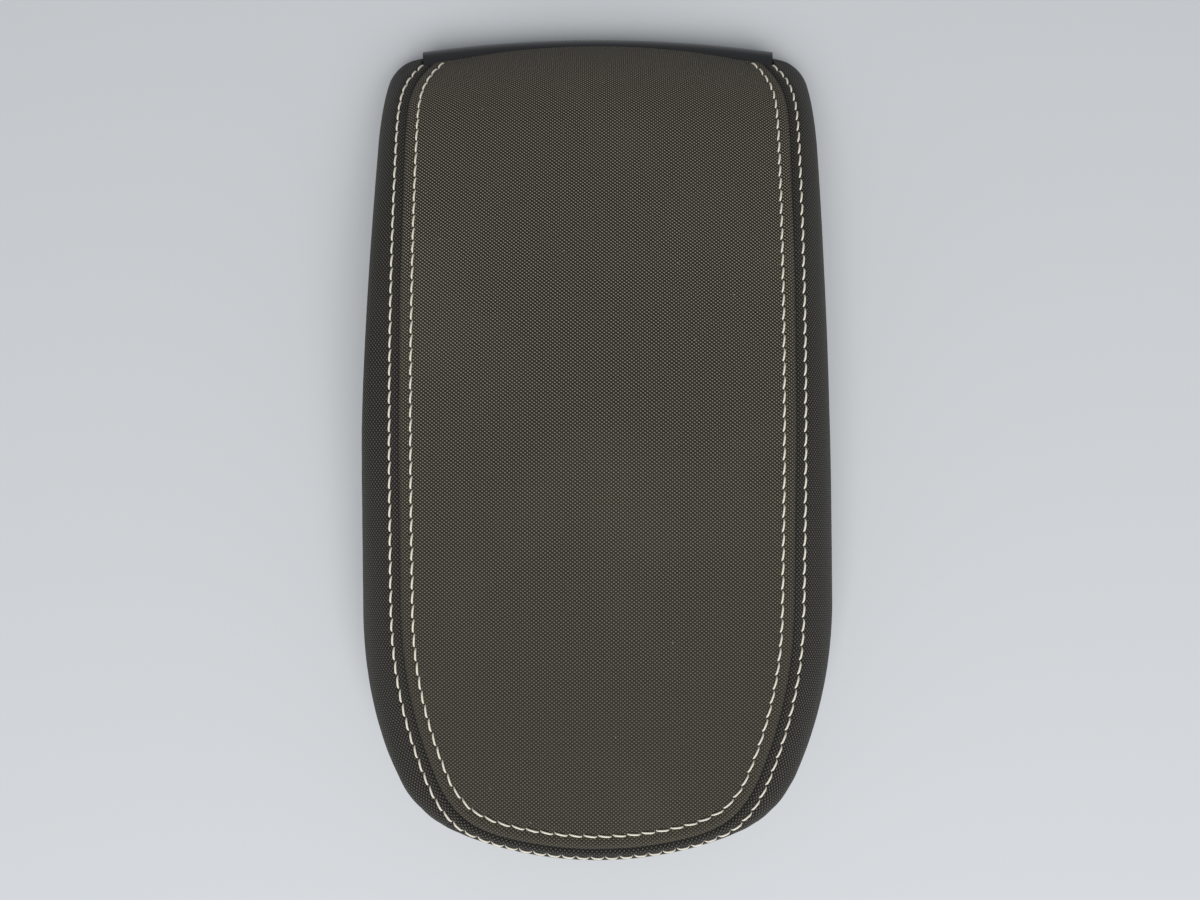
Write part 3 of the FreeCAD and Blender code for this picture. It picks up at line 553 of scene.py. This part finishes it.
LINT_TONE = colour(0.35, 0.32, 0.28)
# Over this grade the weave gets crisper and its upper yarns are painted lighter: painted light, brighter
# towards the rear of the panel.
GRADE_FROM = -110 * MM          # the weave gets crisper from here
GRADE_TO = 60 * MM              # to here
REAR_PAINTED_LIGHT = 1.55              # painted light: tone of the upper yarns at the rear, where the weave is crispest
CRISP_SMALLER = 0.12            # and by how much less of them shows
MEAN_TONE = 0.32                # tone of the whole weave, as a share of its upper yarns
MEAN_SHARE = 0.35               # how much of that tone blurs the weave where it is least crisp
YARN_WANDER = 2.5               # uneven run of the yarns, in radians of their wave
WANDER_GRAIN = 90.0             # noise scales on the cloth, for each metre
FIBRE_GRAIN = 900.0
LINT_GRAIN = 700.0
WEAR_GRAIN = 14.0
PLIES = 4                       # ridges round the thread
THREAD_TWIST = 11.0             # turn of the ridges along half a stitch, in radians of their wave


def woven(name, over, under, gap, depth, ribs, lint):
    """Plain weave: yarns pass over and under each other in a checker of small pillows."""
    shader = Shader(name)
    lengths, across, along = shader.lengths("cloth")
    wander = shader.math("MULTIPLY", shader.noise(WANDER_GRAIN, 2.0, lengths), YARN_WANDER)
    turns = []
    for place, yarn in ((across, YARN_ACROSS), (along, YARN_ALONG)):
        turns.append(shader.math("ADD", shader.math("MULTIPLY", place, math.pi / yarn), wander))
    checker = shader.math("MULTIPLY", *[shader.math("SINE", turn) for turn in turns])
    # This grade makes the weave crisper towards the rear of the panel and also paints its upper yarns
    # lighter there: painted light.
    crisp_and_painted_light = shader.ramp(along, GRADE_FROM, GRADE_TO)
    slant = shader.math("COSINE", shader.math("ADD", *turns))
    slant = shader.math("MULTIPLY", slant, shader.math("MULTIPLY", crisp_and_painted_light, ribs))
    lowered = shader.math("ADD", slant, shader.math("MULTIPLY", crisp_and_painted_light, CRISP_SMALLER))
    on_top = shader.ramp(shader.math("SUBTRACT", checker, lowered), 0.2, 0.5)
    pillow = shader.math("POWER", shader.math("ABSOLUTE", checker), 0.6)
    yarn_tone = shader.noise(FIBRE_GRAIN, 1.0, lengths)
    fibres = shader.math("MULTIPLY", shader.ramp(yarn_tone, 0.3, 0.8), 0.15)
    blurred = shader.math("MULTIPLY_ADD", crisp_and_painted_light, -MEAN_SHARE, MEAN_SHARE)
    worn = shader.ramp(shader.noise(WEAR_GRAIN, 3.0, lengths), 0.5, 0.8)
    fluff = shader.ramp(shader.noise(LINT_GRAIN, 0.0, lengths), lint, lint + 0.03)
    # The upper yarns are painted lighter towards the rear of the panel: painted light.
    base = shader.mix(on_top, under, shader.mix(crisp_and_painted_light, over, shaded(over, REAR_PAINTED_LIGHT)))
    base = shader.mix(fibres, base, over)
    base = shader.mix(shader.ramp(pillow, 0.1, 0.75), gap, base)
    base = shader.mix(blurred, base, shaded(over, MEAN_TONE))
    base = shader.mix(shader.math("MULTIPLY", worn, 0.08), base, over)
    shader.base(shader.mix(fluff, base, LINT_TONE))
    shader.set(Roughness=0.85, Specular_IOR_Level=0.25, Sheen_Weight=0.06)
    shader.bump(shader.math("ADD", pillow, shader.math("MULTIPLY", yarn_tone, 0.4)), depth)
    return shader.material


def sewing_thread(name, light, painted_groove_shade):
    """Twisted thread of a few plies, with painted shade in the grooves between them and their crowns in
    a light cream brightened to a painted highlight.
    """
    shader = Shader(name)
    along, around = shader.lengths("thread")[1:]
    twist = shader.math("ADD", shader.math("MULTIPLY", along, THREAD_TWIST),
                        shader.math("MULTIPLY", around, PLIES * math.pi))
    ply = shader.math("ABSOLUTE", shader.math("SINE", twist))
    # The grooves between the plies get the dark tone, which is painted shade; the crowns get the light
    # tone, which is cream with a painted highlight.
    shader.base(shader.mix(shader.ramp(ply, 0.0, 0.5), painted_groove_shade, light))
    shader.set(Roughness=0.6)
    shader.bump(ply, 0.12 * MM)
    return shader.material


def moulded(name, tone, roughness, grain, depth):
    """Moulded plastic, rubber or foam with a fine grain."""
    shader = Shader(name)
    speckle = shader.noise(grain, 3.0)
    cloud = shader.math("MULTIPLY", shader.noise(30.0), 0.5)
    shader.base(shader.mix(cloud, tone, shaded(tone, 1.5)))
    shader.set(Roughness=roughness)
    shader.bump(speckle, depth, 0.6)
    return shader.material


def plated(name, tone, dullness, metallic):
    """Steel with a fine grain and uneven shine; a higher dullness is rougher."""
    shader = Shader(name)
    cloud = shader.noise(120.0, 4.0)
    shader.base(shader.mix(cloud, tone, shaded(tone, 0.75)))
    shader.join(shader.ramp(cloud, -0.6, 1.6 / dullness), shader.surface.inputs["Roughness"])
    shader.set(Metallic=metallic)
    shader.bump(shader.noise(2500.0, 2.0), 0.01 * MM, 0.5)
    return shader.material


PANEL_CLOTH = woven("woven_cloth", colour(0.184, 0.161, 0.117), colour(0.005, 0.0044, 0.0033),
                    colour(0.003, 0.0027, 0.0022), 0.16 * MM, 0.45, 0.90)
# The side band is the panel's cloth in a darker, greyer tone: painted shade on the sides of the pad.
SHADED_BAND_CLOTH = woven("band_cloth", colour(0.080, 0.074, 0.062), colour(0.006, 0.0057, 0.0052),
                   colour(0.004, 0.004, 0.004), 0.10 * MM, 0.2, 0.92)
# Thread tones: a light cream with a painted highlight for the plies' crowns, and a dark tone for painted
# shade in their grooves.
CREAM_THREAD = sewing_thread("cream_thread", colour(0.95, 0.90, 0.77), colour(0.50, 0.43, 0.32))
CARRIER_PLASTIC = moulded("moulded_plastic", colour(0.022, 0.022, 0.023), 0.55, 1800.0, 0.05 * MM)
TRIM_PLASTIC = moulded("trim_plastic", colour(0.014, 0.014, 0.015), 0.38, 2200.0, 0.02 * MM)
FOAM = moulded("foam", colour(0.20, 0.19, 0.17), 0.95, 900.0, 0.2 * MM)
RUBBER = moulded("rubber", colour(0.018, 0.018, 0.018), 0.8, 1200.0, 0.04 * MM)
NYLON = moulded("nylon", colour(0.55, 0.53, 0.48), 0.45, 1500.0, 0.02 * MM)
ZINC = plated("zinc_steel", colour(0.62, 0.61, 0.58), 2.4, 1.0)
BLACK_STEEL = plated("black_steel", colour(0.025, 0.025, 0.026), 1.8, 0.2)
FINISHES = {
    "cover_screws": ZINC, "leaf_screws": ZINC, "trim_screws": ZINC, "hinge_pin": ZINC,
    "retaining_ring": ZINC, "latch_spring": ZINC, "latch_pin": ZINC,
    "hinge_base": BLACK_STEEL, "hinge_leaf": BLACK_STEEL,
    "hinge_bush_left": NYLON, "hinge_bush_right": NYLON,
    "bumper_left": RUBBER, "bumper_right": RUBBER, "foam_pad": FOAM,
    "upper_carrier": CARRIER_PLASTIC, "lower_cover": CARRIER_PLASTIC,
    "rear_trim": TRIM_PLASTIC, "release_lever": TRIM_PLASTIC,
}
SOFT_EDGES = {
    "release_lever": 0.6 * MM, "bumper_left": 0.8 * MM, "bumper_right": 0.8 * MM,
    "cover_screws": 0.5 * MM, "hinge_pin": 0.4 * MM,
}
WELD = 0.005 * MM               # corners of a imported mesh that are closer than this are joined
BEVEL_STEPS = 3
SHARP = math.radians(40)        # edges that turn more than this are rounded


def dress(piece, material):
    piece.data.materials.clear()
    piece.data.materials.append(material)


def soften(piece, width):
    """Rounds the sharp edges of a moulded or pressed piece."""
    weld = piece.modifiers.new("weld", "WELD")
    weld.merge_threshold = WELD
    bevel = piece.modifiers.new("edges", "BEVEL")
    bevel.width = width
    bevel.segments = BEVEL_STEPS
    bevel.limit_method = "ANGLE"
    bevel.angle_limit = SHARP
    bevel.harden_normals = True


def cover():
    """The four sewn pieces that stand for the plain CAD cover."""
    panel, band = thicken(centre_panel()), thicken(side_band())
    made = {
        "cover_centre_panel": (panel, PANEL_CLOTH, "woven_cloth"),
        "cover_side_band": (band, SHADED_BAND_CLOTH, "band_cloth"),
        "inner_stitch_row": (thread_row("thread_inner_row", "inner_stitch_row"), CREAM_THREAD, "thread"),
        "outer_stitch_row": (thread_row("thread_outer_row", "outer_stitch_row"), CREAM_THREAD, "thread"),
    }
    for node, (piece, material, slot) in made.items():
        dress(piece, material)
        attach(piece, "lid")
        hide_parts(node)


def latch_coil():
    """The latch spring as a piece of its own, carried with the lid."""
    source = NODES["latch_spring"]
    piece = bpy.data.objects.new("latch_coil", source.data.copy())
    bpy.context.collection.objects.link(piece)
    piece.matrix_world = source.matrix_world
    dress(piece, ZINC)
    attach(piece, "lid")
    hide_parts("latch_spring")
    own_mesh(piece)


cover()
latch_coil()
for name, material in FINISHES.items():
    dress(NODES[name], material)
for name, width in SOFT_EDGES.items():
    soften(NODES[name], width)

# Floor, light and camera
FLOOR_SIDE = 6.0
FLOOR_TONE = colour(0.62, 0.64, 0.66)
SKY_TONE = colour(0.93, 0.96, 1.0)
SKY_STRENGTH = 0.30
SOFTBOX_PLACE = (0.1, -1.3, 1.6)
SOFTBOX_SIZE = (1.9, 1.3)
SOFTBOX_WATTS = 46.0
CAMERA_DISTANCE = 357.5 * MM
CAMERA_LEAN = math.radians(4.85)
CAMERA_AIM = Vector((0.9 * MM, -12.65 * MM, 50 * MM))
CAMERA_NEAR = 10 * MM
LENS_LENGTH = 30.0              # lens and sensor in millimetres
SENSOR_WIDTH = 36.0


def studio():
    """A pale floor, an even sky and one softbox in front of the part."""
    bpy.ops.mesh.primitive_plane_add(size=FLOOR_SIDE, location=(0, 0, 0))
    floor = bpy.context.object
    floor.name = "floor"
    pale = Shader("floor")
    pale.base(FLOOR_TONE)
    pale.set(Roughness=0.9)
    dress(floor, pale.material)
    sky = bpy.data.worlds.new("studio")
    sky.use_nodes = True
    background = sky.node_tree.nodes["Background"]
    background.inputs["Color"].default_value = SKY_TONE
    background.inputs["Strength"].default_value = SKY_STRENGTH
    bpy.context.scene.world = sky
    lamp = bpy.data.lights.new("softbox", "AREA")
    lamp.shape = "RECTANGLE"
    lamp.size, lamp.size_y = SOFTBOX_SIZE
    lamp.energy = SOFTBOX_WATTS
    holder = bpy.data.objects.new("softbox", lamp)
    holder.location = SOFTBOX_PLACE
    bpy.context.collection.objects.link(holder)
    holder.rotation_euler = (-holder.location).to_track_quat("-Z", "Y").to_euler()


def camera():
    """The photograph's camera, high over the part and leaning a little to the front."""
    lens = bpy.data.cameras.new("camera")
    lens.lens = LENS_LENGTH
    lens.sensor_width = SENSOR_WIDTH
    lens.clip_start = CAMERA_NEAR
    holder = bpy.data.objects.new("camera", lens)
    away = Vector((0, -math.sin(CAMERA_LEAN), math.cos(CAMERA_LEAN)))
    holder.location = CAMERA_AIM + CAMERA_DISTANCE * away
    holder.rotation_euler = (CAMERA_LEAN, 0, 0)
    bpy.context.collection.objects.link(holder)
    bpy.context.scene.camera = holder


studio()
camera()
bpy.context.scene.view_settings.view_transform = "Standard"
